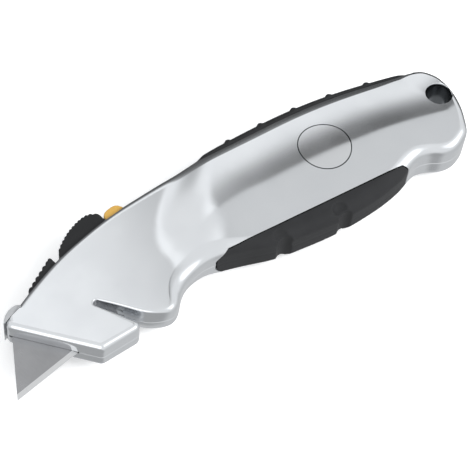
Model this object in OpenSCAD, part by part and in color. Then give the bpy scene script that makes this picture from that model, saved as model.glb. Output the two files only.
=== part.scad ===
// Retractable utility knife with die-cast halves, a thumb slider and a
// quick-release button. The knife lies on its right side: +X runs from the
// blade tip to the tail, +Y from the belly to the spine, +Z up through the
// thickness. The origin is under the middle of the knife, on the rest plane.

/* [Body] */
// Half thickness of the handle, which is also the height of the parting plane
handle_half = 9; // [8.6:0.1:9.6]
// Half thickness of the flat nose
nose_half = 5.5; // [5.4:0.1:6]
// Depth of the rubber pockets in the metal
rubber_t = 1.6; // [1.2:0.1:2]
// How far the spine strip stands above the metal
strip_proud = 0.8; // [0.3:0.1:1]
// Radius of the lanyard hole
lanyard_r = 4.3; // [3.5:0.1:4.6]
// Radius of the round badge
badge_r = 9.3; // [8:0.1:10]

/* [Blade] */
// Length of the blade along its cutting edge
blade_l = 61; // [60:0.5:62]
// Height of the blade
blade_h = 19; // [18.5:0.1:19]
// Thickness of the blade
blade_t = 0.6; // [0.5:0.05:0.65]
// Inset of the blade's spine at each end
blade_in = 14.3; // [13:0.1:15]
// Height of the ground edge
bevel_h = 1.7; // [1:0.1:2.5]
// How far the slider travels
travel = 30; // [26:0.5:30]

/* [Controls] */
// Half width of the thumb knob and the parts beside it
knob_half = 3.6; // [3:0.1:3.7]
// Number of ribs on the thumb knob
knob_ribs = 13; // [8:1:16]
// Number of teeth on the front pad
pad_teeth = 6; // [4:1:8]

/* [Hidden] */
silver = [0.80, 0.81, 0.82];
steel = [0.62, 0.63, 0.65];
black = [0.16, 0.16, 0.17];
yellow = [0.85, 0.68, 0.25];

// Knots of the body's curves, each one [x, value]
spine_knots = [[-90, 14.5], [-82, 18.2], [-74, 20.9], [-65, 23.3], [-55, 25.4], [-45, 26.5],
               [-30, 27], [-15, 25.9], [0, 24.4], [15, 22.7], [30, 20.3], [45, 17.1],
               [60, 12.5], [75, 6.4], [85, 1.5], [90, -1.9], [92, -4.4], [93.5, -8.8]];
belly_knots = [[-90, -3], [-65, -8.4], [-59.5, -9.7], [-53, -11.2], [-44, -13.1], [-40, -13.1],
               [-36, -12], [-32, -9.8], [-28, -8.1], [-21, -7.6], [-16, -8.7], [-7, -13],
               [3, -18.6], [15, -22.9], [27, -26.3], [42, -28.6], [53, -28.8], [63, -27.4],
               [67.5, -29], [71, -31.8], [75, -33.4], [80, -33], [85, -30.9], [88, -26.3],
               [90, -22.6], [92, -17.3], [93.5, -12.6]];
half_knots = [[-90, nose_half], [-60, nose_half], [-34, nose_half], [-24, nose_half + 0.9],
              [-14, handle_half - 0.9], [-4, handle_half], [40, handle_half], [84, handle_half],
              [90, handle_half - 0.8], [93.5, handle_half - 3.2]];
crest_knots = [[-90, 6], [-20, 4], [0, 5.5], [40, -2], [60, -6], [88, -12.5], [93.5, -11]];
round_knots = [[-90, 1.4], [-40, 1.4], [-15, 2.6], [0, 3], [93.5, 3]];
x_front = -87;
x_tail = 93.5;
crest_half = 7;
spine_drop = 1.6;
belly_drop = 2.6;
arc_n = 3;

// Nose: the slanted front face and the string cutter
face_top = [-82.5, 18.2];
face_foot = [-65.5, -8.6];
face_a = atan2(face_top[1] - face_foot[1], face_top[0] - face_foot[0]);
notch_end = [-55.6, 4.6];
notch_r = 1.15;
notch_mouth = [[-49.7, -10.5], [-42.2, -10.5]];

// Insides
edge_y = -2.35;
tip_x = -95.25;
tail_x = tip_x + blade_l;
blade_mid = [tip_x + blade_l / 2, edge_y + blade_h / 2];
slot_gap = 0.15;
chan_x = [-67.5, 9.5];
chan_y = [-2.95, 21.8];
front_y = 6.2;
front_end = -46;
chan_half = 3.4;
knob_slot_x = [-53, travel - 22.8];
knob_slot_half = knob_half + 0.3;
pad_x = [-68, -54.4];
liner_seat = [[-86, 18.25], [-86, 30], [-73.8, 30], [-73.8, 19.9]];
hole_at = [87.5, -14.7];
badge_at = [41.2, -3.4];
badge_t = 0.8;
screws = [[-35.5, -7.2, nose_half], [81.5, -3.2, handle_half]];
screw_r = 1.5;
head_r = 2.8;
head_t = 1.9;
head_sink = 0.35;
pin_r = 1;
pivot = [-45, 19.2];
notch_x = 4.2;
stud_y = edge_y + blade_h - 0.9;
rail_y = [-5.7, -2.6];
rail_x = [-34, 9.3];
store_at = [46, -6.2];
store_a = -17;
store_half = 5.6;

function back(list) = [for (i = [len(list) - 1:-1:0]) list[i]];

// Smooth curve through a list of knots
function at(k, i) = k[max(0, min(len(k) - 1, i))];
function span(k, x, i = 0) = (i >= len(k) - 2 || x < k[i + 1][0]) ? i : span(k, x, i + 1);
function slope(k, i) = (at(k, i + 1)[1] - at(k, i - 1)[1]) / (at(k, i + 1)[0] - at(k, i - 1)[0]);
function hermite(a, b, ma, mb, w, t) =
    a * (2 * pow(t, 3) - 3 * t * t + 1) + b * (3 * t * t - 2 * pow(t, 3))
    + w * (ma * (pow(t, 3) - 2 * t * t + t) + mb * (pow(t, 3) - t * t));
function curve(k, x) =
    let (i = span(k, x), w = k[i + 1][0] - k[i][0])
    hermite(k[i][1], k[i + 1][1], slope(k, i), slope(k, i + 1), w, (x - k[i][0]) / w);

// Half section of the body at x, inset by w, from the spine over the side to the belly;
// its open ends lie at the height low
function half_section(x, w, low) =
    let (yt = curve(spine_knots, x) - w, yb = curve(belly_knots, x) + w,
         h = min(curve(half_knots, x), handle_half) - w,
         soft = (curve(half_knots, x) - nose_half) / (handle_half - nose_half),
         tall = max(yt - yb, 0.6), r = min(max(curve(round_knots, x) - w, 0.4), tall / 3.2),
         crown = min(crest_half, tall / 2 - r) * 0.9,
         c = max(min(curve(crest_knots, x), yt - r - crown), yb + r + crown),
         ht = h - spine_drop * max(soft, 0), hb = h - belly_drop * max(soft, 0))
    concat([[x, yt, low]],
           [for (i = [0:arc_n]) [x, yt - r + r * cos(90 * i / arc_n), ht - r + r * sin(90 * i / arc_n)]],
           [[x, c + crown, h], [x, c - crown, h]],
           [for (i = [0:arc_n]) [x, yb + r - r * sin(90 * i / arc_n), hb - r + r * cos(90 * i / arc_n)]],
           [[x, yb, low]]);

// Closed solid through sections that all have the same number of points
module loft(sections) {
    n = len(sections[0]);
    m = len(sections);
    polyhedron(
        points = [for (s = sections) each s],
        faces = concat(
            [for (j = [0:m - 2], i = [0:n - 1]) [j * n + i, j * n + (i + 1) % n, (j + 1) * n + i]],
            [for (j = [0:m - 2], i = [0:n - 1])
                [j * n + (i + 1) % n, (j + 1) * n + (i + 1) % n, (j + 1) * n + i]],
            [[for (i = [0:n - 1]) n - 1 - i]],
            [[for (i = [0:n - 1]) (m - 1) * n + i]]));
}

// The left half of the whole body, inset by w, between two stations
module body_half(w = 0, from = x_front, to = x_tail, low = 0) {
    tail = [for (x = [86, 88.5, 90.5, 92, 93, x_tail]) if (x < to - 0.2 && x > from) x];
    main = [for (x = [from:3:min(to, 84)]) if (x < to - 0.2) x];
    loft([for (x = concat(main, tail, [to])) back(half_section(x, w, low))]);
}

module other_side() mirror([0, 0, 1]) children();
module plate(pts, low, high) translate([0, 0, low]) linear_extrude(high - low) polygon(pts);
module block(x, y, z) translate([x[0], y[0], z[0]]) cube([x[1] - x[0], y[1] - y[0], z[1] - z[0]]);
module rod(p, r, low, high) translate([p[0], p[1], low]) cylinder(r = r, h = high - low, $fn = 48);

// Outlines of the two rubber areas, seen from the side
belly_area = [[-16.5, -40], [-16.5, -8], [-8, -10.8], [56.3, -26], [58.6, -28.6], [58.6, -40]];
function strip_low(x) = curve(spine_knots, x) - 2.8 * min(1, pow((x - 6) / 6, 0.5));
strip_area = concat([for (x = [6.7:2:89]) [x, strip_low(x)]], [[91, 30], [6.7, 30]]);

// The outer layer of the body over an area, standing proud by the given amount
module skin(area, proud, low = 0) {
    from = min([for (p = area) p[0]]) - 1;
    to = max([for (p = area) p[0]]) + 1;
    difference() {
        intersection() {
            body_half(-proud, from, min(to, x_tail - 1), low);
            plate(area, low - 1, 20);
        }
        body_half(rubber_t, from - 2, min(to + 1, x_tail - 0.5), low - 2);
    }
}

module string_cutter()
    plate(concat([for (a = [160:-20:20]) notch_end + notch_r * [cos(a), sin(a)]],
                 [notch_mouth[1], notch_mouth[1] + [1, -8], notch_mouth[0] + [-3, -8],
                  notch_mouth[0]]), -20, 20);

// Half of the knife's metal body: the hollows are cut from the parting plane
module shell(screw_side) {
    difference() {
        body_half();
        skin(belly_area, 1, -1);
        skin(strip_area, 1, -1);
        translate([face_foot[0], face_foot[1], -1]) rotate([0, 0, face_a])
            translate([-40, 0, 0]) cube([90, 40, 20]);
        string_cutter();
        block([x_front - 5, tail_x + 6], [edge_y - 0.3, edge_y + blade_h + 0.3],
              [-1, blade_t / 2 + slot_gap]);
        block([chan_x[0], front_end + 1], [front_y, chan_y[1]], [-1, chan_half]);
        block([front_end, chan_x[1]], chan_y, [-1, chan_half]);
        block(knob_slot_x, [20, 34], [-1, knob_slot_half]);
        block(pad_x, [21.2, 34], [-1, knob_slot_half]);
        plate(liner_seat, -1, 20);
        block([rail_x[0] - 0.2, chan_x[1]], [rail_y[0] - 0.05, 0], [-1, 3]);
        plate([[13, 17], [45, 11], [70, 2.5], [76, 0], [77.2, -8], [79.5, -9], [77, -22],
               [73, -26.5], [64, -24], [45, -24], [27, -21.5], [13, -16.5]], -1, store_half);
        plate([[-12, -6.2], [-8, -9.2], [-2, -12.8], [9.5, -17.5], [9.5, -6.2]], -1, 5.2);
        rod(hole_at, lanyard_r, -1, 20);
        for (s = screws) rod(s, screw_side ? screw_r + 0.15 : screw_r, -1,
                             screw_side ? 20 : s[2] - 2);
        if (screw_side)
            for (s = screws) rod(s, head_r + 0.15, s[2] - head_sink - head_t, 20);
        else
            rod(badge_at, badge_r, handle_half - badge_t, 20);
    }
}

module left_shell() color(silver) shell(false);
module right_shell() color(silver) other_side() shell(true);

// Round plate let into the left side
module badge_disc() color([0.86, 0.87, 0.88])
    rod(badge_at, badge_r - 0.05, handle_half - badge_t, handle_half + 0.1);

// Rubber pad along one half of the belly, with two finger grooves
finger_grooves = [[6.6, -22.6], [30.3, -29.8]];
module belly_grip() color(black) difference() {
    skin(belly_area, 0);
    for (g = finger_grooves) rod(g, 3.2, -1, 20);
}
module belly_grip_left() belly_grip();
module belly_grip_right() other_side() belly_grip();

// Rubber strip along one half of the spine, with cross ribs
rib_x = [for (i = [0:4]) 20.3 + 13.4 * i];
module spine_grip() color(black) {
    skin(strip_area, strip_proud);
    for (x = rib_x)
        rod([x, curve(spine_knots, x) + 0.25], 1.05, 0, handle_half - 3.6);
}
module spine_grip_left() spine_grip();
module spine_grip_right() other_side() spine_grip();

// Toothed thumb rest that is clamped between the halves in front of the knob
pad_pitch = (pad_x[1] - pad_x[0] - 1) / pad_teeth;
module front_pad() color(black) {
    plate(concat([[pad_x[0] + 0.05, 21.25]],
                 [for (i = [0:pad_teeth - 1]) let (x = pad_x[0] + 0.3 + i * pad_pitch,
                      y = curve(spine_knots, x) + 0.9 + 0.32 * i)
                      each [[x, y - 0.35], [x + pad_pitch * 0.35, y + 0.3],
                            [x + pad_pitch * 0.8, y + 0.35]]],
                 [[pad_x[1] - 0.15, 28.2], [pad_x[1] - 0.05, 21.25]]), -knob_half, knob_half);
}

// Rounded steel cap that closes the top of the nose across both halves
module nose_liner() color(steel)
    plate([[-82.1, 18.85], [-81.2, 19.9], [-79.8, 20.9], [-78, 21.5], [-76, 21.65], [-74.5, 21.2],
           [-73.85, 20.6], [-73.85, 19.95]], 0.3 - nose_half, nose_half - 0.3);

// Trapezoid blade with two notches in its spine; the edge is ground from both sides
module flat_blade(t) {
    difference() {
        translate([0, 0, -t / 2]) linear_extrude(t) difference() {
            polygon([[-blade_l / 2, -blade_h / 2], [blade_l / 2, -blade_h / 2],
                     [blade_l / 2 - blade_in, blade_h / 2], [-blade_l / 2 + blade_in, blade_h / 2]]);
            for (s = [-1, 1]) translate([s * notch_x, blade_h / 2])
                circle(r = 1.9, $fn = 40);
        }
        for (s = [-1, 1]) mirror([0, 0, s < 0 ? 1 : 0])
            translate([0, -blade_h / 2, 0]) rotate([atan2(t / 2 - 0.02, bevel_h), 0, 0])
                translate([-blade_l, -bevel_h * 2, 0.02]) cube([blade_l * 2, bevel_h * 3, t]);
    }
}
module blade() color(steel) translate([blade_mid[0], blade_mid[1], 0]) flat_blade(blade_t);

// Spare blades in a stack, in the hollow of the handle
module spare_blades() color(steel)
    for (i = [0:4])
        translate([store_at[0], store_at[1], -5 + i * (blade_t + 0.15)])
            rotate([0, 0, store_a]) flat_blade(blade_t);

// Bent leaf that keeps the spare blades against the right half
module storage_clip() color(steel)
    translate([store_at[0], store_at[1], 0]) rotate([0, 0, store_a]) rotate([90, 0, 0])
        plate([[-22, 5], [-22, 5.5], [-14, 5.5], [0, -0.9], [14, 5.5], [22, 5.5], [22, 5],
               [14.3, 5], [0, -1.55], [-14.3, 5]], -4, 4);

// Slider inside the halves: the blade lies on its left face
car_x = [-66.5, -22];
car_half = 3.1;
lever_z = [blade_t / 2 + 0.15, 2.4];
module blade_carrier() color([0.3, 0.31, 0.33]) difference() {
    union() {
        block(car_x, [front_y + 0.4, 17.5], [-car_half, -blade_t / 2 - 0.05]);
        block([front_end + 0.5, car_x[1]], [3, 17.5], [-car_half, -blade_t / 2 - 0.05]);
        block([tail_x + 0.4, car_x[1]], [-0.75, 17.5], [-car_half, car_half]);
        block([-52, car_x[1]], [17.4, 21.4], [-car_half, -blade_t / 2 - 0.05]);
        block([-43, -34.5], [21.2, 25.5], [-car_half, car_half]);
        block([-43, -34.5], [17.4, 21.4], [lever_z[1] + 0.15, car_half]);
    }
    rod(pivot, pin_r, -5, 5);
}

// Ribbed thumb knob on top of the slider
knob_top = [[-52, 26.2], [-50.6, 28.3], [-45.6, 30.9], [-41.4, 32.2], [-37.4, 32.75],
            [-34.6, 32.5], [-32.7, 31.4], [-31.4, 29.9]];
function knob_y(x) = curve(knob_top, x);
rib_run = (-32.2 + 51.6) / knob_ribs;
module thumb_knob() color(black) difference() {
    union() {
        plate(concat([[-52, 23.6], [-52, 26.2]],
                     [for (i = [0:knob_ribs * 4 - 1])
                         let (x = -51.6 + rib_run * i / 4) [x, knob_y(x) + 0.22 * cos(90 * i)]],
                     [[-31.4, 29.6], [-31.4, 27.2], [-33.6, 26.2], [-33.6, 23.6]]),
              -knob_half, knob_half);
        block([-49.5, -44], [21.9, 23.7], [-2.8, 2.8]);
    }
    block([-43.1, -34.4], [20, 25.6], [-car_half - 0.1, car_half + 0.1]);
}

// Button behind the knob that frees the blade
module release_button() color(yellow) {
    plate([[-31.1, 26.3], [-31.1, 27.9], [-30.2, 28.9], [-28.4, 29.5], [-25.6, 29.5],
           [-24.4, 28.9], [-23.6, 27.4], [-23.6, 25.9], [-30, 25.9]], -knob_half, knob_half);
    block([-29.6, -27.9], [21.05, 26.2], [lever_z[0], lever_z[1]]);
}

// Coil spring under the button
spring_r = 1.3;
wire_r = 0.22;
spring_turns = 4;
spring_y = [21.45, 25.9];
function coil_ring(k, n) =
    let (a = 360 * spring_turns * k / n, y = spring_y[0] + wire_r
             + (spring_y[1] - spring_y[0] - 2 * wire_r) * k / n)
    [for (i = [0:7]) let (b = 45 * i, q = spring_r + wire_r * cos(b))
        [-25.4 + q * cos(a), y + wire_r * sin(b), -1.6 + q * sin(a)]];
module button_spring() color(steel)
    loft([for (k = [0:spring_turns * 12]) coil_ring(k, spring_turns * 12)]);

// Lever that the button tips: its stud sits in the blade's notch
module blade_latch() color([0.7, 0.66, 0.5]) difference() {
    union() {
        plate([[-62.2, 15.9], [-59, 15.9], [-56, 17.9], [-42, 17.6], [-36, 18.3], [-27.2, 19.3],
               [-27.2, 20.95], [-36, 20.6], [-47, 20.9], [-58, 19.8], [-62.2, 18.6]],
              lever_z[0], lever_z[1]);
        rod([blade_mid[0] + notch_x, stud_y], 0.85, -blade_t / 2, lever_z[1]);
        rod([blade_mid[0] + notch_x, stud_y], 1.4, lever_z[0], lever_z[1]);
    }
    rod(pivot, pin_r + 0.04, -5, 5);
}
module latch_pin() color(steel) rod(pivot, pin_r, -car_half, car_half - 0.1);

// Leaf under the slider that snaps into the rail's notches
module detent_spring() color(steel)
    plate([[-32.6, -1.2], [-32.6, -0.8], [-23, -0.8], [-23, -1.2], [-26, -1.25], [-27.6, -2.5],
           [-29.2, -1.25]], -1.4, 1.4);
module detent_rail() color(steel) difference() {
    block(rail_x, rail_y, [-2.9, 2.9]);
    for (i = [0:3]) translate([i * travel / 3, 0, 0])
        plate([[-29.4, -2.55], [-27.6, -3.35], [-25.8, -2.55]], -4, 4);
}

// Two screws that go in from the right side
module body_screws() color(steel)
    for (s = screws) {
        rod(s, screw_r - 0.02, head_sink + head_t - s[2] - 0.5, s[2] - 2.5);
        difference() {
            rod(s, head_r, head_sink - s[2], head_sink + head_t - s[2]);
            for (a = [0, 90]) translate([s[0], s[1], head_sink - s[2]]) rotate([0, 0, a])
                cube([3.2, 0.7, 2], center = true);
        }
    }

module lift() translate([0, 0, handle_half]) children();

lift() left_shell();
lift() right_shell();
lift() badge_disc();
lift() belly_grip_left();
lift() belly_grip_right();
lift() spine_grip_left();
lift() spine_grip_right();
lift() front_pad();
lift() nose_liner();
lift() blade();
lift() blade_carrier();
lift() thumb_knob();
lift() release_button();
lift() button_spring();
lift() blade_latch();
lift() latch_pin();
lift() detent_spring();
lift() detent_rail();
lift() body_screws();
lift() spare_blades();
lift() storage_clip();
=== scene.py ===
import bpy
import math
from mathutils import Matrix, Vector


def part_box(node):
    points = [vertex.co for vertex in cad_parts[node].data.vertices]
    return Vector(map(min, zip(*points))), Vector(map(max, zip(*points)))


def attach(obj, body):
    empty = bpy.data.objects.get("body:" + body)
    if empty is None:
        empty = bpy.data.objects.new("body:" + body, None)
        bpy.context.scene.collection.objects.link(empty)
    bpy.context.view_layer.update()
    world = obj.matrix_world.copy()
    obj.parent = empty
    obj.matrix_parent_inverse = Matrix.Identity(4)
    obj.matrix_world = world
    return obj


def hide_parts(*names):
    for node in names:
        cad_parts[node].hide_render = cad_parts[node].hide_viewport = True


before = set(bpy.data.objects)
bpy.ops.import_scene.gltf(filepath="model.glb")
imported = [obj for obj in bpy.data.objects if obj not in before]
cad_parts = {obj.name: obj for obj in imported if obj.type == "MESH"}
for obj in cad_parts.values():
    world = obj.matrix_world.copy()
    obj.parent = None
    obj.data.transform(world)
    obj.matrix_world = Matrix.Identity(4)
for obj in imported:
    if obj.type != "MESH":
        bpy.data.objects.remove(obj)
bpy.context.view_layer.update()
mm = 0.001
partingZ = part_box("left_shell")[0][2] / mm   # the two halves meet at this height, in mm
handleHalf = 9.0                         # the crest of each side stands this far from the parting plane
print("frame loaded, parting plane at", round(partingZ, 2), "mm")


def deselectAll():
    if bpy.context.object and bpy.context.object.mode != 'OBJECT':
        bpy.ops.object.mode_set(mode='OBJECT')
    bpy.ops.object.select_all(action='DESELECT')


def pick(obj):
    deselectAll()
    obj.select_set(True)
    bpy.context.view_layer.objects.active = obj


def applyMod(obj, kind, **settings):
    pick(obj)
    mod = obj.modifiers.new(kind.lower(), kind)
    for key, value in settings.items():
        setattr(mod, key, value)
    bpy.ops.object.modifier_apply(modifier=mod.name)


def boolean(obj, tool, how='DIFFERENCE', keep=False):
    applyMod(obj, 'BOOLEAN', operation=how, solver='EXACT', object=tool)
    if not keep:
        bpy.data.objects.remove(tool, do_unlink=True)


def soften(obj, width, segments=3, angle=35):
    applyMod(obj, 'BEVEL', width=width * mm, segments=segments, limit_method='ANGLE',
             angle_limit=math.radians(angle), miter_outer='MITER_ARC')


def cleanUp(obj, angle=30):
    pick(obj)
    bpy.ops.object.mode_set(mode='EDIT')
    bpy.ops.mesh.select_all(action='SELECT')
    bpy.ops.mesh.remove_doubles(threshold=0.004 * mm)
    bpy.ops.mesh.dissolve_degenerate(threshold=0.002 * mm)
    bpy.ops.mesh.normals_make_consistent(inside=False)
    bpy.ops.object.mode_set(mode='OBJECT')
    bpy.ops.object.shade_smooth_by_angle(angle=math.radians(angle))


def applyPlace(obj):
    pick(obj)
    bpy.ops.object.transform_apply(location=True, rotation=True, scale=True)


def toMetres(p):                         # heights are counted from the parting plane
    return (p[0] * mm, p[1] * mm, (p[2] + partingZ) * mm)


def outlineSolid(name, pts, low, high):
    # a filled circle laid on the outline, then pulled up
    deselectAll()
    bpy.ops.mesh.primitive_circle_add(vertices=len(pts), radius=mm, fill_type='NGON')
    obj = bpy.context.object
    obj.name = name
    for v, p in zip(obj.data.vertices, pts):
        v.co = toMetres((p[0], p[1], low))
    bpy.ops.object.mode_set(mode='EDIT')
    bpy.ops.mesh.select_all(action='SELECT')
    bpy.ops.mesh.extrude_region_move(TRANSFORM_OT_translate={"value": (0, 0, (high - low) * mm)})
    bpy.ops.mesh.select_all(action='SELECT')
    bpy.ops.mesh.normals_make_consistent(inside=False)
    bpy.ops.object.mode_set(mode='OBJECT')
    return obj


def block(x, y, z):
    deselectAll()
    middle = toMetres([(a[0] + a[1]) / 2 for a in (x, y, z)])
    bpy.ops.mesh.primitive_cube_add(size=1, location=middle,
                                    scale=[(a[1] - a[0]) * mm for a in (x, y, z)])
    applyPlace(bpy.context.object)
    return bpy.context.object


def rod(at, r, low, high, vertices=64):
    deselectAll()
    bpy.ops.mesh.primitive_cylinder_add(vertices=vertices, radius=r * mm, depth=(high - low) * mm,
                                        location=toMetres((at[0], at[1], (low + high) / 2)))
    applyPlace(bpy.context.object)
    return bpy.context.object


def ball(at, r, stretch=(1, 1, 1)):
    deselectAll()
    bpy.ops.mesh.primitive_uv_sphere_add(segments=32, ring_count=20, radius=r * mm,
                                         location=toMetres(at), scale=stretch)
    applyPlace(bpy.context.object)
    return bpy.context.object


def joined(tools):
    first = tools[0]
    for tool in tools[1:]:
        boolean(first, tool, 'UNION')
    return first


def along(knots, x):
    # smooth curve through knots of [x, value]
    i = max(k for k in range(len(knots) - 1) if k == 0 or knots[k][0] <= x)

    def slope(k):
        a = knots[max(k - 1, 0)]
        b = knots[min(k + 1, len(knots) - 1)]
        return (b[1] - a[1]) / (b[0] - a[0])
    w = knots[i + 1][0] - knots[i][0]
    t = min(max((x - knots[i][0]) / w, 0), 1)
    return (knots[i][1] * (2 * t ** 3 - 3 * t * t + 1) + knots[i + 1][1] * (3 * t * t - 2 * t ** 3)
            + w * (slope(i) * (t ** 3 - 2 * t * t + t) + slope(i + 1) * (t ** 3 - t * t)))


def through(points, perSpan):
    # smooth run through points of any number of values
    run = []
    for i in range(len(points) - 1):
        p = [points[min(max(i + k, 0), len(points) - 1)] for k in (-1, 0, 1, 2)]
        for step in range(perSpan):
            t = step / perSpan
            run.append([0.5 * (2 * b + (c - a) * t + (2 * a - 5 * b + 4 * c - d) * t * t
                               + (3 * b - a - 3 * c + d) * t ** 3) for a, b, c, d in zip(*p)])
    return run


def straightRun(a, b, step):
    n = max(int(math.hypot(b[0] - a[0], b[1] - a[1]) / step), 1)
    return [[a[k] + (b[k] - a[k]) * i / n for k in range(len(a))] for i in range(n)]


def roundedRun(corners, step):
    # straight runs between corners of [x, y, radius, ...], with an arc at each rounded corner
    ends = [[c[:2] + c[3:], c[:2] + c[3:]] for c in corners]
    arcs = [[] for c in corners]
    for i in range(1, len(corners) - 1):
        radius = corners[i][2]
        if radius > 0:
            here = Vector(corners[i][:2])
            back = (Vector(corners[i - 1][:2]) - here).normalized()
            ahead = (Vector(corners[i + 1][:2]) - here).normalized()
            half = back.angle(ahead) / 2
            reach = radius / math.tan(half)
            centre = here + (back + ahead).normalized() * radius / math.sin(half)
            start = here + back * reach
            finish = here + ahead * reach
            ends[i] = [list(start) + corners[i][3:], list(finish) + corners[i][3:]]
            turn = (start - centre).angle_signed(finish - centre)
            n = 7
            for k in range(1, n):
                a = -turn * k / n
                arm = start - centre
                arcs[i].append([centre[0] + arm[0] * math.cos(a) - arm[1] * math.sin(a),
                                centre[1] + arm[0] * math.sin(a) + arm[1] * math.cos(a)]
                               + corners[i][3:])
    run = []
    for i in range(len(corners) - 1):
        if i > 0:
            run += [ends[i][0]] + arcs[i] if arcs[i] else []
        run += straightRun(ends[i][1], ends[i + 1][0], step)
    return run


# the metal body: outline, edge rounding and the crowned side
body = {
    "spine": [[-90, 14.5], [-82, 18.2], [-74, 20.9], [-65, 23.3], [-55, 25.4], [-45, 26.5], [-30, 27],
              [-15, 25.9], [0, 24.4], [15, 22.7], [30, 20.3], [45, 17.1], [60, 12.5], [75, 6.4],
              [85, 1.5], [90, -1.9]],
    "belly": [[-39.2, -13.6], [-36.2, -12.75], [-32.3, -10], [-28, -8.1], [-21, -7.6],
              [-16, -8.7], [-7, -13], [3, -18.6], [15, -22.9], [27, -26.3], [42, -28.6], [53, -28.8],
              [63, -27.4], [67.5, -29], [71, -31.8], [75, -33.4], [80, -33], [85, -30.9]],
    "spineEdge": [[-90, 1.6], [-60, 2], [-40, 2.2], [-28, 2.5], [-12, 3], [0, 3.9], [12, 5], [30, 5.9],
                  [60, 5.5], [76, 4.6], [84, 3.4]],
    "bellyEdge": [[-36.2, 3.2], [-30, 5], [-20, 5.6], [-12, 4.6], [-4, 3.6], [20, 3.6],
                  [40, 4.2], [56, 4.6], [62, 4.2], [68, 3], [72, 3.2], [80, 3.2]],
    "spineCrease": [[-90, 3], [-8, 3], [12, 20], [84, 20]],
    "bellyCrease": [[-40, 3], [20, 3], [32, 18], [52, 18], [62, 3], [80, 3]],
    "crestY": [[-70, 8], [-56, 9], [-40, 7], [-24, 3.4], [-12, 3.4], [-4, 3.9],
               [6, 2.9], [16, 0.6], [26, -1.4], [40, -4.7], [52, -8.2], [62, -11.4], [72, -15.4],
               [84, -21]],
    "crestEnds": (-70, 84),
    "noseHalf": 5.5,
    "spineCrown": 112,                   # mm, radius of the side between crest and spine
    "bellyTilt": 6.5,                    # degrees, from the crest towards the belly
    "crestSoft": 0.13,                   # mm, larger values make a rounder crest
    "innerRows": 18,
    "spineStep": 1.2, "bellyStep": 1.0,  # mm between the columns along the outline
    "coverFrom": -74.5, "cover": 0.8,    # the spine is raised under the nose cap, which cuts it off
    "noseSpineEdge": 0.35,
    "joint": 0.13,                       # mm, depth of the groove along the parting plane
}
crestStep = 1.4
# the rise from the flat nose to the full thickness starts on a bowed line across the side
shoulder = {
    "from": -27, "limit": -36, "middleY": 2, "spineBow": 0.047, "bellyBow": -0.06,
    "reach": 24, "soft": 0.88,
}
# outline corners of the nose: x, y, corner radius, place along the crest, edge rounding
noseCorners = [[-79, 19.9, 0, -69.5, 1.2], [-83.4, 18.9, 2.5, -70, 2.2], [-65.9, -9.2, 2.5, -70, 2.3],
               [-48.7, -11.6, 2.4, -63, 2.0], [-56.5, 4.3, 0, -61, 0.7]]
notchEnd = (-55.6, 4.6, 1.15)            # x, y, radius
# the guard's front wall leans back towards the sides by the last value
guardPoints = [[-54.5, 4.9, -55, 0.7, 0], [-52.4, 0.95, -53.6, 0.9, 0.3],
               [-50.3, -3.05, -52, 1.0, 0.5], [-48.3, -6.9, -50.2, 1.1, 0.6],
               [-46.5, -9.5, -48.2, 1.3, 0.6], [-44.3, -11.4, -45.6, 1.5, 0.5],
               [-41.8, -12.9, -43, 1.9, 0.3], [-39.2, -13.6, -40.4, 2.5, 0.1],
               [-36.2, -12.75, -37.5, 3.2, 0], [-32.3, -10, -33, 4.4, 0]]
leanWay = (0.86, 0.5)
tailPoints = [[80, -33, 80, 3.2], [84, -31.4, 84, 3], [88, -26.4, 84, 2.6], [90.3, -22.4, 84, 2.5],
              [92.4, -17, 84, 2.1], [93.5, -11, 84, 1.9], [93.2, -7, 84, 1.9], [91.8, -3.2, 84, 2.1],
              [88.4, 0, 84, 2.7], [84, 2.1, 84, 3.4]]


def spineY(x):
    cover = min(max((body["coverFrom"] - x) / 2, 0), 1)
    return along(body["spine"], x) + body["cover"] * cover


def crestPoint(c):
    first, last = body["crestEnds"]
    k = round((min(max(c, first), last) - first) / crestStep)
    x = first + k * crestStep
    return x, along(body["crestY"], x)


def smooth(t):
    t = min(max(t, 0), 1)
    return t * t * (3 - 2 * t)


def sideHeight(x, y):
    # height of the side above the parting plane
    first, last = body["crestEnds"]
    d = y - along(body["crestY"], min(max(x, first), last))
    if d > 0:
        drop = d * d / (2 * body["spineCrown"])
    else:
        tilt = math.tan(math.radians(body["bellyTilt"]))
        drop = math.hypot(tilt * d, body["crestSoft"]) - body["crestSoft"]
    across = y - shoulder["middleY"]
    bow = shoulder["spineBow"] if across > 0 else shoulder["bellyBow"]
    start = max(shoulder["from"] + bow * across ** 2, shoulder["limit"])
    t = min(max((x - start) / shoulder["reach"], 0), 1)
    rise = shoulder["soft"] * smooth(t) + (1 - shoulder["soft"]) * t * (2 - t)
    return body["noseHalf"] + (handleHalf - drop - body["noseHalf"]) * rise


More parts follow.
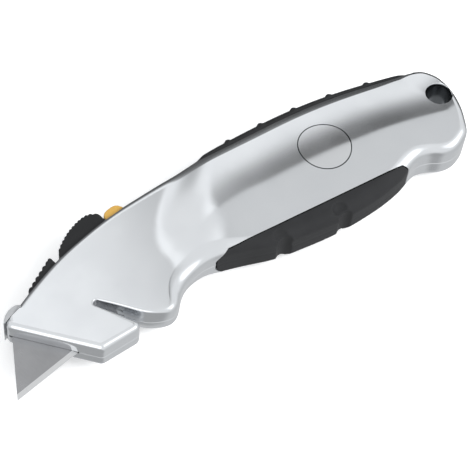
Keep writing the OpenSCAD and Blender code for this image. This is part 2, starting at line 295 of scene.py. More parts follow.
def outlineRun():
    run = []
    first, x = body["crestEnds"]
    while x > noseCorners[0][0]:
        c = x
        for k in range(12):                          # settles the place along the crest
            c = x + 8 * (max(-40 - c, 0) / 30) ** 2 if x < -40 else x
        edge = along(body["spineEdge"], x) if x > body["coverFrom"] else body["noseSpineEdge"]
        run.append([x, spineY(x), max(c, first), edge, along(body["spineCrease"], x)])
        x -= body["spineStep"]
    for p in roundedRun(noseCorners, body["spineStep"]):
        run.append(p + [3])
    cx, cy, r = notchEnd
    for k in range(13):
        a = math.radians(172 - 142 * k / 12)
        run.append([cx + r * math.cos(a), cy + r * math.sin(a), -61 + 6 * k / 12, 0.7, 3])
    for p in through(guardPoints, 5)[:-5]:           # the last point only steers the curve
        run.append(p[:4] + [3] + p[4:])
    x = guardPoints[-2][0]
    while x < tailPoints[0][0] - 0.5:
        c = x if x > -30 else -30 - (-30 - x) * 1.2
        run.append([x, along(body["belly"], x), c, along(body["bellyEdge"], x),
                    along(body["bellyCrease"], x)])
        x += body["bellyStep"]
    for p in through(tailPoints, 5):
        run.append(p + [3 + 17 * smooth((p[1] + 12) / 12)])
    return run


def edgeSteps(width, crease):
    # rounding from the wall to the side: pairs of inset and drop
    depth = min(width, 2.5 + 0.45 * max(width - 2.5, 0))
    a = math.radians(crease)
    little = min(0.8, width / 3)
    big = (width - little * math.sin(a)) / (1 - math.sin(a))
    steps = []
    for k in range(8):
        b = (math.pi / 2 - a) * k / 7
        steps.append((big * (1 - math.cos(b)), big * math.sin(b)))
    for k in range(1, 4):
        b = a * (1 - k / 3)
        steps.append((steps[7][0] + little * (math.sin(a) - math.sin(b)),
                      steps[7][1] + little * (math.cos(b) - math.cos(a))))
    top = steps[-1][1]
    return [(s[0], (s[1] - top) * depth / top) for s in steps]


def sideRows(grow=0.0):
    # rows from the parting plane over the rounded edge to the crest, each one all round
    run = outlineRun()
    columns = []
    for i, (x, y, c, width, crease, *lean) in enumerate(run):
        lean = lean[0] if lean else 0
        before = run[i - 1]
        after = run[(i + 1) % len(run)]
        along2d = Vector((after[0] - before[0], after[1] - before[1])).normalized()
        out = Vector((along2d[1], -along2d[0]))
        column = []
        for inset, drop in edgeSteps(width, crease):
            px = x - out[0] * (inset - grow) + lean * leanWay[0]
            py = y - out[1] * (inset - grow) + lean * leanWay[1]
            column.append((px, py, sideHeight(px, py) + drop + grow))
        # the joint between the halves is a fine groove
        foot = (column[0][0] - lean * leanWay[0], column[0][1] - lean * leanWay[1])
        wall = [(foot[0] - out[0] * body["joint"], foot[1] - out[1] * body["joint"], 0),
                (*foot, body["joint"] * 1.3)]
        for k in range(1, 4):
            left = lean * (1 - (k / 4) ** 2)
            wall.append((column[0][0] - left * leanWay[0], column[0][1] - left * leanWay[1],
                         column[0][2] * k / 4))
        last = column[-1]
        cx, cy = crestPoint(c)
        for k in range(1, body["innerRows"] + 1):
            t = k / body["innerRows"]
            px = last[0] + (cx - last[0]) * t
            py = last[1] + (cy - last[1]) * t
            column.append((px, py, sideHeight(px, py) + grow))
        columns.append(wall + column)
    columns.append(columns[0])
    return [[c[k] for c in columns] for k in range(len(columns[0]))]


def laidGrid(name, rows):
    # a grid primitive whose rows are laid on the shape
    deselectAll()
    across = len(rows[0])
    bpy.ops.mesh.primitive_grid_add(x_subdivisions=across - 1, y_subdivisions=len(rows) - 1, size=mm)
    obj = bpy.context.object
    obj.name = name
    for i, v in enumerate(obj.data.vertices):
        v.co = toMetres(rows[i // across][i % across])
    return obj


def bodyForm(name, sides, grow=0.0):
    # sides: 1 is the left half, -1 the right half, 0 the whole body
    rows = sideRows(grow)
    if sides == 0:
        rows = [[(p[0], p[1], -p[2]) for p in row] for row in reversed(rows[1:])] + rows
    else:
        rows = [[(p[0], p[1], p[2] * sides) for p in row] for row in rows]
    obj = laidGrid(name, rows)
    bpy.ops.object.mode_set(mode='EDIT')
    bpy.ops.mesh.select_all(action='SELECT')
    bpy.ops.mesh.remove_doubles(threshold=0.002 * mm)
    if sides:
        bpy.ops.mesh.select_all(action='DESELECT')
        bpy.ops.mesh.select_non_manifold()
        bpy.ops.mesh.edge_face_add()
    bpy.ops.mesh.select_all(action='SELECT')
    bpy.ops.mesh.normals_make_consistent(inside=False)
    bpy.ops.object.mode_set(mode='OBJECT')
    return obj


# hollows inside the halves, which the slider, the spare blades and the screws need
inside = {
    "bladeSlot": ((-92, -27.4), (-2.65, 17.0), 0.42),
    "frontChannel": ((-67.5, -45), (6.2, 21.8), 3.4),
    "channel": ((-46, 9.5), (-2.95, 21.8), 3.4),
    "knobSlot": ((-53, 7.2), (20, 34), 3.9),
    "padPocket": ((-68, -54.4), (21.2, 34), 3.75),
    "railPocket": ((-34.2, 9.5), (-5.75, 0), 3.0),
    "storeAt": (46, -6.2),
    "storeTurn": -17,
    "screws": ((-35.5, -7.2, 5.5), (81.5, -3.2, 8.3)),   # x, y, depth of the side there
    "screwHole": 1.55, "screwPass": 1.65, "headSeat": 2.95,
    "hole": (87.5, -14.7, 4.3),
    "badge": (41.2, -3.4, 9.3),
}


def turnedBlock(x, y, z, at, degrees):
    tool = block(x, y, z)
    tool.rotation_euler = (0, 0, math.radians(degrees))
    tool.location = (at[0] * mm, at[1] * mm, 0)
    applyPlace(tool)
    return tool


def hollows():
    # one tool for both halves, made as a union of plain blocks
    tools = []
    for key in ("channel", "frontChannel", "bladeSlot", "knobSlot", "padPocket", "railPocket"):
        x, y, half = inside[key]
        tools.append(block(x, y, (-half, half)))
    return joined(tools)


def storeHollow():
    tools = [turnedBlock((-31, 31), (-10, 10), (-5.4, 5.4), inside["storeAt"], inside["storeTurn"]),
             turnedBlock((-22.4, 22.4), (-4.3, 4.3), (-5.8, 5.8), inside["storeAt"],
                         inside["storeTurn"])]
    return joined(tools)


def capSeat():
    # the notch at the top of the nose that the steel cap fills
    pts = [(-90, 17.71), (-74.5, 19.81), (-74.02, 20.02), (-73.8, 20.4), (-73.8, 30), (-90, 30)]
    return outlineSolid("capSeat", pts, -20, 20)


def flaredHole(side):
    # the hole's rim opens out a little on the outside
    x, y, r = inside["hole"]
    tool = rod((x, y), r, -0.5, 7.4, 72)
    bpy.ops.object.mode_set(mode='EDIT')
    bpy.ops.mesh.select_all(action='DESELECT')
    bpy.ops.object.mode_set(mode='OBJECT')
    for f in tool.data.polygons:
        f.select = f.normal.z > 0.9
    bpy.ops.object.mode_set(mode='EDIT')
    at = toMetres((x, y, 0))
    for rise, grow in ((0.35, 0.05), (0.35, 0.1), (0.3, 0.15), (0.3, 0.25), (1.6, 0.6)):
        bpy.ops.mesh.extrude_region_move(TRANSFORM_OT_translate={"value": (0, 0, rise * mm)})
        bpy.ops.transform.resize(value=(1 + grow / r, 1 + grow / r, 1), center_override=at)
        r += grow
    bpy.ops.mesh.select_all(action='SELECT')
    if side < 0:
        bpy.ops.transform.resize(value=(1, 1, -1), center_override=toMetres((0, 0, 0)))
    bpy.ops.mesh.normals_make_consistent(inside=False)
    bpy.ops.object.mode_set(mode='OBJECT')
    return tool


belly = {
    "area": [(-17.8, -40), (-17.8, -8.6), (-14.5, -8.7), (-11, -9.5), (-7, -10.7),
             (56.3, -25.9), (58.4, -28.4), (58.4, -40)],
    "frontX": -16.2, "frontCurve": 0.12,     # the front edge bows back towards both sides
    "grooves": [(5.2, 2.8), (27.6, 3.9)],    # x, and how far the groove climbs the side
    "grooveR": 3.3, "grooveDepth": 1.5,
    "gap": 0.12,
}


def bellyTool(name, gap):
    # the space of the belly grip, smaller all round by the gap
    pts = [(p[0] + (gap if p[0] < 0 else -gap), p[1] - gap) for p in belly["area"]]
    tool = outlineSolid(name, pts, -12, 12)
    bow = [(belly["frontX"] + gap + belly["frontCurve"] * z * z, z) for z in range(-10, 11)]
    cutter = outlineSolid("bow", [(-40, -10)] + bow + [(-40, 10)], 0, 60)
    # stand the cutter up, so that its outline lies along the thickness
    cutter.rotation_euler = (math.radians(90), 0, 0)
    applyPlace(cutter)
    for v in cutter.data.vertices:
        v.co.y += 0.01
        v.co.z += partingZ * mm
    boolean(tool, cutter)
    return tool


def bodyHalf(name, side, cutters):
    half = bodyForm(name, side)
    for x, y, top in inside["screws"]:
        if side > 0:
            boolean(half, rod((x, y), inside["screwHole"], -0.5, top - 2))
        else:
            boolean(half, rod((x, y), inside["headSeat"], -12, 2.25 - top))
            boolean(half, rod((x, y), inside["screwPass"], 1.75 - top, 0.5, 48))
    for tool, keep in cutters:
        boolean(half, tool, keep=keep)
    boolean(half, flaredHole(side))
    if side > 0:
        x, y, r = inside["badge"]
        boolean(half, rod((x, y), r, 7.4, 12, 128))
    return half


print("cutting tools")
hollowTool = hollows()
storeTool = storeHollow()
seatTool = capSeat()
bellyPocket = bellyTool("bellyPocket", 0)

strip = {
    "from": 6.6, "to": 89.4, "step": 0.45,
    "depth": [[6, 0.15], [8, 1.0], [11, 1.8], [16, 2.4], [24, 2.9], [40, 3.1], [60, 2.6], [80, 1.9],
              [89.6, 0.7]],
    "proud": 0.75, "ribs": [20.3 + 13.4 * i for i in range(5)], "ribHigh": 0.75, "ribHalf": 1.35,
}


def stripPocket():
    low = []
    x = strip["from"]
    while x < strip["to"]:
        low.append((x, spineY(x) - along(strip["depth"], x)))
        x += 2
    low.append((strip["to"], spineY(strip["to"]) - 0.75))
    return outlineSolid("stripPocket", low + [(strip["to"] + 1, 30), (strip["from"], 30)], -12, 12)


stripTool = stripPocket()
tools = [(hollowTool, True), (storeTool, True), (seatTool, True), (bellyPocket, True),
         (stripTool, True)]
leftHalf = bodyHalf("leftHalf", 1, tools)
rightHalf = bodyHalf("rightHalf", -1, tools)
print("body halves cut")

wholeForm = bodyForm("wholeForm", 0)


def makeBadge():
    # a round plate that carries the side's own crown
    x, y, r = inside["badge"]
    plate = rod((x, y), r - 0.24, 7.5, 12, 128)
    plate.name = "badgePlate"
    boolean(plate, wholeForm, 'INTERSECT', keep=True)
    soften(plate, 0.08, 2, 50)
    return plate


def makeBellyGrip():
    grip = bellyTool("bellyGrip", belly["gap"])
    boolean(grip, wholeForm, 'INTERSECT', keep=True)
    for x, climb in belly["grooves"]:
        y = along(body["belly"], x)
        r = belly["grooveR"]
        centre = y - r + belly["grooveDepth"]
        tool = rod((x, centre), r, -12, 12)
        for side in (1, -1):
            high = sideHeight(x, y + 3) + 0.8
            for part in (0.45, 1):
                boolean(tool, ball((x - 0.2, centre + climb * part, high * side), r, (1, 1, 0.75)),
                        'UNION')
        boolean(grip, tool)
    applyMod(grip, 'REMESH', mode='VOXEL', voxel_size=0.3 * mm, use_smooth_shade=True)
    applyMod(grip, 'SMOOTH', factor=0.5, iterations=7)
    applyMod(grip, 'DECIMATE', ratio=0.5)
    return grip


def stripSection(x):
    # the strip's outside at x, from the left side over the spine to the right side
    slope = (spineY(x + 0.3) - spineY(x - 0.3)) / 0.6
    out = Vector((-slope, 1)).normalized()
    depth = along(strip["depth"], x) * out[1]
    swell = strip["proud"] * smooth((x - strip["from"]) / 4) * smooth((strip["to"] - x) / 5)
    for rib in strip["ribs"]:
        swell += strip["ribHigh"] * math.cos(min(abs(x - rib) / strip["ribHalf"], 1) * math.pi / 2) ** 2
    steps = edgeSteps(along(body["spineEdge"], x), along(body["spineCrease"], x))
    side = []
    n = 14
    for k in range(n + 1):
        inset = (depth - 0.08) * (1 - (k / n) ** 1.6)
        drop = along([list(s) for s in steps], inset)
        rim = smooth(min((depth - inset) / 0.9, 1)) ** 0.5
        px = x - out[0] * (inset - swell * rim * 0.8)
        py = spineY(x) - out[1] * (inset - swell * rim * 0.8)
        side.append((px, py, sideHeight(x - out[0] * inset, spineY(x) - out[1] * inset) + drop
                     + swell * rim * 0.35))
    wallZ = side[-1][2]
    wall = [(side[-1][0], side[-1][1], wallZ * (1 - k / 4)) for k in range(1, 4)]
    outer = side + wall
    inner = (x + out[0] * -depth, spineY(x) - out[1] * depth)
    under = [(inner[0], inner[1], side[0][2] * (1 - k / 3)) for k in range(1, 4)]
    left = under[::-1] + outer
    return left + [(p[0], p[1], -p[2]) for p in left[::-1]]


def makeStrip():
    rows = []
    x = strip["from"] + 0.1
    while x < strip["to"] - 0.1:
        section = stripSection(x)
        rows.append(section + section[:1])
        x += strip["step"]
    grip = laidGrid("spineGrip", rows)
    cleanUp(grip, 50)
    pick(grip)
    bpy.ops.object.mode_set(mode='EDIT')
    bpy.ops.mesh.select_all(action='DESELECT')
    bpy.ops.mesh.select_non_manifold()
    bpy.ops.mesh.fill_holes(sides=0)
    bpy.ops.mesh.select_all(action='SELECT')
    bpy.ops.mesh.normals_make_consistent(inside=False)
    bpy.ops.object.mode_set(mode='OBJECT')
    return grip


badgePlate = makeBadge()
bellyGrip = makeBellyGrip()
spineGrip = makeStrip()
for tool in (hollowTool, storeTool, seatTool, bellyPocket, stripTool, wholeForm):
    bpy.data.objects.remove(tool, do_unlink=True)
for obj in (leftHalf, rightHalf, badgePlate):
    cleanUp(obj, 32)
print("rubber and badge made")

knob = {
    "from": -51.8, "run": 19.7,
    "top": [[-52, 26.2], [-50.6, 28.3], [-45.6, 30.9], [-41.4, 32.2], [-37.4, 32.75],
            [-34.6, 32.5], [-32.7, 31.4], [-31.4, 29.9]],
    "half": 3.6, "ribs": 13, "ribDeep": 0.5, "edge": 0.25,
}


def makeKnob():
    ridge = []
    n = knob["ribs"] * 8
    for i in range(n + 1):
        x = knob["from"] + knob["run"] * i / n
        slope = (along(knob["top"], x + 0.2) - along(knob["top"], x - 0.2)) / 0.4
        size = math.hypot(slope, 1)
        wave = knob["ribDeep"] * (abs(math.cos(math.pi * i / 8)) ** 0.7 - 0.6)
        ridge.append((x - slope / size * wave, along(knob["top"], x) + wave / size))
    pts = ([(-52, 23.7), (-52.1, 26)] + ridge + [(-31.6, 30.5), (-31.4, 29.6), (-31.4, 27.3),
                                                 (-33.6, 26.3), (-33.6, 23.7)])
    piece = outlineSolid("thumbKnob", pts[::-1], -knob["half"], knob["half"])
    soften(piece, knob["edge"], 2, 70)
    boolean(piece, block((-43.1, -34.4), (20, 25.6), (-3.2, 3.2)))
    cleanUp(piece, 40)
    return piece


pad = {
    "from": -67.7, "teeth": 6, "pitch": 2.1, "half": 3.6, "lift": 1.1, "climb": 0.3,
    "heel": [(-55.9, 27.9), (-55.4, 28.35), (-54.8, 28.25), (-54.5, 27.8)],
}


def makePad():
    pts = [(-67.95, 21.25), (-67.95, 23.6)]
    for i in range(pad["teeth"]):
        x = pad["from"] + i * pad["pitch"]
        y = along(body["spine"], x) + pad["lift"] + pad["climb"] * i
        for dx, dy in ((0, -0.15), (0.35, 0.2), (0.8, 0.36), (1.3, 0.34), (1.75, 0.1)):
            if x + dx < -56.1:
                pts.append((x + dx, y + dy))
    pts += pad["heel"] + [(-54.45, 21.25)]
    piece = outlineSolid("frontPad", pts[::-1], -pad["half"], pad["half"])
    soften(piece, 0.25, 2, 60)
    cleanUp(piece, 40)
    return piece


def makeButton():
    top = [(-31.05, 26.3), (-31.05, 27.7), (-30.6, 28.7), (-29.7, 29.35), (-28.4, 29.6),
           (-26.4, 29.6), (-25.2, 29.3), (-24.4, 28.6), (-23.8, 27.5), (-23.6, 26.9), (-23.6, 26.0)]
    piece = outlineSolid("releaseButton", top[::-1], -3.6, 3.6)
    soften(piece, 0.5, 4, 60)
    boolean(piece, block((-29.6, -27.9), (21.1, 26.6), (0.45, 2.4)), 'UNION')
    cleanUp(piece, 40)
    return piece


cap = {
    "top": [[-82.3, 18.85], [-81.7, 19.45], [-80.6, 20.35], [-79.3, 21.1], [-77.8, 21.55],
            [-76.3, 21.65], [-75, 21.45], [-74.25, 20.95]],
    "half": 5.3, "edge": 0.3,
}


def makeCap():
    pts = [[-82.3, 18.85]] + through(cap["top"], 3)[1:] + [[-74.0, 20.6], [-74.1, 20.3],
                                                          [-74.5, 20.06]]
    piece = outlineSolid("noseCap", pts[::-1], -cap["half"], cap["half"])
    soften(piece, cap["edge"], 3, 60)
    cleanUp(piece, 40)
    return piece


def makeScrews():
    screws = []
    for x, y, top in inside["screws"]:
        head = rod((x, y), 2.8, 0.35 - top, 2.2 - top, 48)
        soften(head, 0.3, 3, 50)
        for turn in (0, 90):
            boolean(head, turnedBlock((-1.6, 1.6), (-0.35, 0.35), (-top, 1.35 - top), (x, y), turn))
        boolean(head, rod((x, y), 1.48, 2.0 - top, 3.4, 32), 'UNION')
        cleanUp(head, 40)
        screws.append(head)
    pick(screws[0])
    screws[1].select_set(True)
    bpy.ops.object.join()
    screws[0].name = "bodyScrews"
    return screws[0]


thumbKnob = makeKnob()
frontPad = makePad()
releaseButton = makeButton()
noseCap = makeCap()
bodyScrews = makeScrews()
print("controls and fittings made")


def addNode(tree, kind, links=None, values=None, **settings):
    made = tree.nodes.new(kind)
    for key, value in settings.items():
        setattr(made, key, value)
    for key, value in (values or {}).items():
        made.inputs[key].default_value = value
    for key, socket in (links or {}).items():
        tree.links.new(socket, made.inputs[key])
    return made


def spread(tree, socket, low, high, start=0.3, end=0.7):
    made = addNode(tree, 'ShaderNodeMapRange', {"Value": socket},
                   {"From Min": start, "From Max": end, "To Min": low, "To Max": high})
    return made.outputs["Result"]


def finish(name, look):
    # colour that varies, roughness that varies, a fine bump, and convex edges painted lighter: partly
    # wear, partly a painted highlight
    mat = bpy.data.materials.new(name)
    mat.use_nodes = True
    tree = mat.node_tree
    shader = tree.nodes["Principled BSDF"]
    place = addNode(tree, 'ShaderNodeTexCoord').outputs["Object"]
    mapped = addNode(tree, 'ShaderNodeMapping', {"Vector": place},
                     {"Scale": look.get("stretch", (1, 1, 1)),
                      "Rotation": (0, 0, math.radians(look.get("turn", 0)))}).outputs["Vector"]
    broad = addNode(tree, 'ShaderNodeTexNoise', {"Vector": place},
                    {"Scale": look.get("broad", 90), "Detail": 4, "Roughness": 0.6}).outputs["Fac"]
    fine = addNode(tree, 'ShaderNodeTexNoise', {"Vector": mapped},
                   {"Scale": look["grain"], "Detail": look.get("grainDetail", 3),
                    "Roughness": 0.6}).outputs["Fac"]
    colour = addNode(tree, 'ShaderNodeMix', {"Factor": spread(tree, broad, 0, 1)},
                     data_type='RGBA')
    colour.inputs[6].default_value = (*look["colour"], 1)
    colour.inputs[7].default_value = (*look["colourTwo"], 1)
    flecked = addNode(tree, 'ShaderNodeMix', {"Factor": spread(tree, fine, 0, look.get("fleck", 0.2)),
                                              6: colour.outputs[2]}, data_type='RGBA')
    flecked.inputs[7].default_value = (*look["wornAndPaintedHighlight"], 1)
    # convex edges are painted lighter: partly wear, partly a painted highlight along the edges
    point = addNode(tree, 'ShaderNodeNewGeometry').outputs["Pointiness"]
    edge = spread(tree, point, 0, look.get("wearAndPaintedHighlight", 0.5), 0.53, 0.62)
    wornAndPaintedHighlight = addNode(tree, 'ShaderNodeMix', {"Factor": edge, 6: flecked.outputs[2]}, data_type='RGBA')
    wornAndPaintedHighlight.inputs[7].default_value = (*look["wornAndPaintedHighlight"], 1)
    base = wornAndPaintedHighlight.outputs[2]
    if "bevel" in look:                  # faces that tilt out of the flat were ground bright
        normal = addNode(tree, 'ShaderNodeNewGeometry').outputs["True Normal"]
        flat = addNode(tree, 'ShaderNodeMath', {0: addNode(tree, 'ShaderNodeSeparateXYZ', {0: normal})
                                                .outputs["Z"]}, operation='ABSOLUTE').outputs[0]
        ground = addNode(tree, 'ShaderNodeMix', {"Factor": spread(tree, flat, 1, 0, 0.985, 0.998),
                                                 6: base}, data_type='RGBA')
        ground.inputs[7].default_value = (*look["bevel"], 1)
        base = ground.outputs[2]
    for x, y, near, far in look.get("paintedShade", []):     # painted shade: the lanyard bore and the badge's ring gap are painted dark
        shift = addNode(tree, 'ShaderNodeVectorMath', {0: place}, {1: (-x * mm, -y * mm, 0)},
                        operation='ADD').outputs[0]
        flatten = addNode(tree, 'ShaderNodeVectorMath', {0: shift}, {1: (1, 1, 0)},
                          operation='MULTIPLY').outputs[0]
        away = addNode(tree, 'ShaderNodeVectorMath', {0: flatten}, operation='LENGTH').outputs["Value"]
        shadeMask = addNode(tree, 'ShaderNodeMath',
                         {0: spread(tree, away, 1, 0, far * mm, (far + 0.08) * mm),
                          1: spread(tree, away, 0, 1, (near - 0.04) * mm, near * mm)},
                         operation='MULTIPLY').outputs[0]
        paintedShade = addNode(tree, 'ShaderNodeMix', {"Factor": shadeMask, 6: base}, data_type='RGBA')
        paintedShade.inputs[7].default_value = (*look["paintedShadeTone"], 1)
        base = paintedShade.outputs[2]
    tree.links.new(base, shader.inputs["Base Color"])
    rough = spread(tree, broad, *look["rough"])
    sparkle = spread(tree, fine, -look.get("roughGrain", 0.03), look.get("roughGrain", 0.03))
    total = addNode(tree, 'ShaderNodeMath', {0: rough, 1: sparkle}, operation='ADD')
    tree.links.new(total.outputs[0], shader.inputs["Roughness"])
    bump = addNode(tree, 'ShaderNodeBump', {"Height": fine},
                   {"Strength": look["bump"], "Distance": look.get("bumpDepth", 0.05) * mm})
    tree.links.new(bump.outputs["Normal"], shader.inputs["Normal"])
    shader.inputs["Metallic"].default_value = look.get("metal", 0)
    shader.inputs["Specular IOR Level"].default_value = look.get("specular", 0.5)
    shader.inputs["Coat Weight"].default_value = look.get("coat", 0)
    shader.inputs["Coat Roughness"].default_value = 0.25
    return mat


# the lighter edge tone of each finish is partly wear and partly a painted highlight on convex edges; the
# flecks use the same tone
castPaint = finish("castPaint", {
    "colour": (0.80, 0.815, 0.83), "colourTwo": (0.76, 0.775, 0.795), "wornAndPaintedHighlight": (0.9, 0.9, 0.9),
    # painted shade in the lanyard bore and in the ring gap around the badge
    "paintedShade": [(87.5, -14.7, 0, 4.33), (41.2, -3.4, 9.0, 9.34)], "paintedShadeTone": (0.2, 0.21, 0.22),
    "metal": 1.0, "rough": (0.18, 0.205), "roughGrain": 0.012, "broad": 60, "grain": 5200,
    "fleck": 0.12, "bump": 0.05, "bumpDepth": 0.012, "wearAndPaintedHighlight": 0.35})
badgeMetal = finish("badgeMetal", {
    # painted shade in the ring gap around the badge
    "paintedShade": [(41.2, -3.4, 9.0, 9.34)], "paintedShadeTone": (0.2, 0.21, 0.22),
    "colour": (0.82, 0.83, 0.84), "colourTwo": (0.78, 0.79, 0.81), "wornAndPaintedHighlight": (0.92, 0.92, 0.92),
    "metal": 1.0, "rough": (0.175, 0.2), "roughGrain": 0.012, "broad": 80, "grain": 5200,
    "fleck": 0.12, "bump": 0.05, "bumpDepth": 0.012, "wearAndPaintedHighlight": 0.5})
gripRubber = finish("gripRubber", {
    "colour": (0.016, 0.0165, 0.0175), "colourTwo": (0.022, 0.0225, 0.024), "wornAndPaintedHighlight": (0.045, 0.045, 0.047),
    "rough": (0.5, 0.62), "roughGrain": 0.06, "broad": 120, "grain": 2600, "fleck": 0.12,
    "bump": 0.35, "bumpDepth": 0.06, "specular": 0.26, "wearAndPaintedHighlight": 0.4})
blackPlastic = finish("blackPlastic", {
    "colour": (0.011, 0.0115, 0.0125), "colourTwo": (0.016, 0.0165, 0.0175), "wornAndPaintedHighlight": (0.04, 0.04, 0.04),
    "rough": (0.42, 0.55), "roughGrain": 0.05, "broad": 200, "grain": 2200, "fleck": 0.15,
    "bump": 0.3, "bumpDepth": 0.05, "specular": 0.24, "wearAndPaintedHighlight": 0.5})
carrierPlastic = finish("carrierPlastic", {
    "colour": (0.08, 0.08, 0.09), "colourTwo": (0.1, 0.1, 0.11), "wornAndPaintedHighlight": (0.2, 0.2, 0.2),
    "rough": (0.4, 0.5), "broad": 150, "grain": 1800, "bump": 0.25, "specular": 0.4})
yellowPlastic = finish("yellowPlastic", {
    "colour": (0.62, 0.36, 0.06), "colourTwo": (0.57, 0.32, 0.05), "wornAndPaintedHighlight": (0.75, 0.52, 0.2),
    "rough": (0.3, 0.4), "broad": 200, "grain": 1500, "fleck": 0.15, "bump": 0.15,
    "specular": 0.5, "coat": 0.15})
bladeSteel = finish("bladeSteel", {
    "colour": (0.34, 0.34, 0.35), "colourTwo": (0.29, 0.29, 0.3), "wornAndPaintedHighlight": (0.5, 0.5, 0.5),
    "bevel": (0.8, 0.8, 0.8),
    "metal": 1.0, "rough": (0.3, 0.38), "roughGrain": 0.05, "broad": 70, "grain": 320,
    "stretch": (14, 1, 14), "fleck": 0.22, "bump": 0.1, "bumpDepth": 0.02, "wearAndPaintedHighlight": 0.2})
linerSteel = finish("linerSteel", {
    "colour": (0.55, 0.56, 0.57), "colourTwo": (0.48, 0.49, 0.5), "wornAndPaintedHighlight": (0.8, 0.8, 0.8),
    "metal": 1.0, "rough": (0.28, 0.36), "roughGrain": 0.05, "broad": 120, "grain": 300,
    "stretch": (1, 1, 12), "fleck": 0.3, "bump": 0.15, "bumpDepth": 0.02, "wearAndPaintedHighlight": 0.5})
springSteel = finish("springSteel", {
    "colour": (0.6, 0.61, 0.63), "colourTwo": (0.52, 0.53, 0.55), "wornAndPaintedHighlight": (0.75, 0.75, 0.75),
    "metal": 1.0, "rough": (0.2, 0.3), "broad": 200, "grain": 900, "bump": 0.1})
latchBrass = finish("latchBrass", {
    "colour": (0.72, 0.58, 0.3), "colourTwo": (0.62, 0.5, 0.27), "wornAndPaintedHighlight": (0.85, 0.72, 0.45),
    "metal": 1.0, "rough": (0.28, 0.4), "broad": 150, "grain": 700, "bump": 0.15})
screwSteel = finish("screwSteel", {
    "colour": (0.66, 0.67, 0.68), "colourTwo": (0.58, 0.59, 0.6), "wornAndPaintedHighlight": (0.85, 0.85, 0.85),
    "metal": 1.0, "rough": (0.2, 0.3), "broad": 250, "grain": 1200, "bump": 0.12, "wearAndPaintedHighlight": 0.6})


def dress(obj, mat):
    obj.data.materials.clear()
    obj.data.materials.append(mat)


# each new piece: object, body that it rides on, nodes that it stands for, slot, finish
pieces = [
    (leftHalf, "body", ["left_shell"], "cast_body", castPaint),
    (rightHalf, "body", ["right_shell"], "cast_body", castPaint),
    (badgePlate, "body", ["badge_disc"], "badge", badgeMetal),
    (bellyGrip, "body", ["belly_grip_left", "belly_grip_right"], "grip_rubber", gripRubber),
    (spineGrip, "body", ["spine_grip_left", "spine_grip_right"], "grip_rubber", gripRubber),
    (frontPad, "body", ["front_pad"], "black_plastic", blackPlastic),
    (noseCap, "body", ["nose_liner"], "liner_steel", linerSteel),
    (bodyScrews, "body", ["body_screws"], "screw_steel", screwSteel),
    (thumbKnob, "slider", ["thumb_knob"], "black_plastic", blackPlastic),
    (releaseButton, "button", ["release_button"], "yellow_plastic", yellowPlastic),
]
for piece, rider, nodes, slot, mat in pieces:
    dress(piece, mat)
    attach(piece, rider)
    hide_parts(*nodes)
nodeFinish = {
    "blade": bladeSteel, "spare_blades": bladeSteel, "blade_carrier": carrierPlastic,
    "button_spring": springSteel, "detent_spring": springSteel, "storage_clip": springSteel,
    "detent_rail": linerSteel, "latch_pin": linerSteel, "blade_latch": latchBrass,
}
for nodeName, mat in nodeFinish.items():
    dress(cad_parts[nodeName], mat)
print("finishes set")

studio = {
    "floor": 3.0,                        # metres across
    "floorShade": 0.93, "floorGlow": 0.3,
    "key": (0.42, -0.64, 0.64, 1.3, 0.7, 11),   # direction, distance, size, watts
}


def makeFloor():
    deselectAll()
    bpy.ops.mesh.primitive_plane_add(size=studio["floor"], location=(0, 0, -0.0002))
    floor = bpy.context.object
    floor.name = "studioFloor"
    applyPlace(floor)
    mat = bpy.data.materials.new("floorWhite")
    mat.use_nodes = True
    tree = mat.node_tree
    shader = tree.nodes["Principled BSDF"]
    place = addNode(tree, 'ShaderNodeTexCoord').outputs["Object"]
    noise = addNode(tree, 'ShaderNodeTexNoise', {"Vector": place}, {"Scale": 6, "Detail": 2})
    tone = addNode(tree, 'ShaderNodeMix', {"Factor": noise.outputs["Fac"]}, data_type='RGBA')
    shade = studio["floorShade"]
    tone.inputs[6].default_value = (shade, shade, shade, 1)
    tone.inputs[7].default_value = (shade + 0.01, shade + 0.01, shade + 0.01, 1)
    tree.links.new(tone.outputs[2], shader.inputs["Base Color"])
    shader.inputs["Roughness"].default_value = 0.9
    shader.inputs["Emission Color"].default_value = (1, 1, 1, 1)
    shader.inputs["Emission Strength"].default_value = studio["floorGlow"]
    shader.inputs["Specular IOR Level"].default_value = 0.1
    floor.data.materials.append(mat)
    floor.visible_glossy = False         # the metal mirrors the studio's soft surround instead


# the surround: soft patches of light and shade, each with its direction, inner and outer
# spread in degrees, and brightness
surround = {
    "above": 0.9,
    "below": 0.64,
    "seen": 1.0,
    "patches": [
        ((0.42, 0.86, 0.10), 22, 38, 0.36),      # shade beyond the spine
        ((0.43, 0.84, -0.34), 20, 45, 0.16),
        ((0.50, 0.10, 0.86), 5, 15, 0.74),       # the belly flank's mild grey
        ((0.49, 0.60, 0.63), 9, 20, 1.05),       # lighter over the spine flank
        ((0.29, 0.40, 0.87), 3, 9, 1.2),        # lighter over the nose
        ((0.53, 0.34, 0.777), 2, 11, 0.03),      # dark card over the tail
        ((0.84, 0.46, -0.22), 27, 42, 0.1),      # shade beyond the tail
        ((-0.75, -0.37, -0.5), 36, 54, 0.42),    # shade before the nose
        ((-0.72, -0.31, 0.62), 13, 26, 1.6),     # strip light along the nose
        ((0.43, -0.62, 0.65), 12, 26, 1.65),      # soft light from the belly side
    ],
}


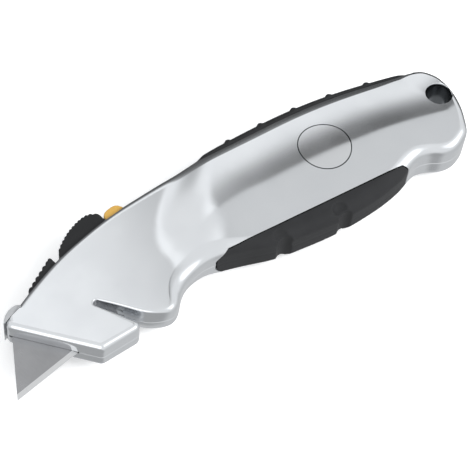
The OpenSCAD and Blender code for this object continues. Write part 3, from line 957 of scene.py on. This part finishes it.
def makeWorld():
    world = bpy.data.worlds.new("softStudio")
    bpy.context.scene.world = world
    world.use_nodes = True
    tree = world.node_tree
    back = tree.nodes["Background"]
    out = tree.nodes["World Output"]
    way = addNode(tree, 'ShaderNodeTexCoord').outputs["Generated"]
    upward = addNode(tree, 'ShaderNodeSeparateXYZ', {0: way}).outputs["Z"]
    level = addNode(tree, 'ShaderNodeMapRange', {"Value": upward},
                    {"From Min": -0.25, "From Max": 0.3, "To Min": surround["below"],
                     "To Max": surround["above"]}, interpolation_type='SMOOTHSTEP').outputs["Result"]
    for direction, inner, outer, light in surround["patches"]:
        toward = addNode(tree, 'ShaderNodeVectorMath', {0: way}, operation='DOT_PRODUCT')
        toward.inputs[1].default_value = Vector(direction).normalized()
        part = addNode(tree, 'ShaderNodeMapRange', {"Value": toward.outputs["Value"]},
                       {"From Min": math.cos(math.radians(outer)),
                        "From Max": math.cos(math.radians(inner))},
                       interpolation_type='SMOOTHSTEP').outputs["Result"]
        level = addNode(tree, 'ShaderNodeMix', {"Factor": part, 2: level},
                        {3: light}).outputs[0]
    tree.links.new(level, back.inputs["Strength"])
    back.inputs["Color"].default_value = (0.97, 0.985, 1.0, 1)
    plain = addNode(tree, 'ShaderNodeBackground', None,
                    {"Color": (1, 1, 1, 1), "Strength": surround["seen"]})
    rays = addNode(tree, 'ShaderNodeLightPath').outputs["Is Camera Ray"]
    both = addNode(tree, 'ShaderNodeMixShader', {0: rays, 1: back.outputs[0], 2: plain.outputs[0]})
    tree.links.new(both.outputs[0], out.inputs["Surface"])


def makeKey():
    x, y, z, far, size, watts = studio["key"]
    deselectAll()
    bpy.ops.object.light_add(type='AREA', location=(x * far, y * far, z * far))
    lamp = bpy.context.object
    lamp.data.size = size
    lamp.data.energy = watts
    lamp.visible_glossy = False          # the patches of the surround make the metal's highlights
    lamp.rotation_euler = Vector((x, y, z)).to_track_quat('Z', 'Y').to_euler()


view = {
    "from": (-244.80, -199.53, 478.48), "at": (-2.28, -4.64, 9.0), "roll": 7.262,
    "lens": 130.21,
}


def makeCamera():
    deselectAll()
    bpy.ops.object.camera_add()
    camera = bpy.context.object
    start = Vector(view["from"]) * mm
    ahead = (Vector(view["at"]) * mm - start).normalized()
    right = ahead.cross(Vector((0, 0, 1))).normalized()
    up = right.cross(ahead)
    roll = math.radians(view["roll"])
    side = right * math.cos(roll) + up * math.sin(roll)
    top = side.cross(ahead)
    camera.matrix_world = Matrix.Translation(start) @ Matrix((side, top, -ahead)).transposed().to_4x4()
    camera.data.lens = view["lens"]
    camera.data.sensor_width = 36
    camera.data.clip_start = 0.01
    bpy.context.scene.camera = camera


makeFloor()
makeWorld()
makeKey()
makeCamera()
bpy.context.scene.view_settings.view_transform = 'Standard'
print("studio set")
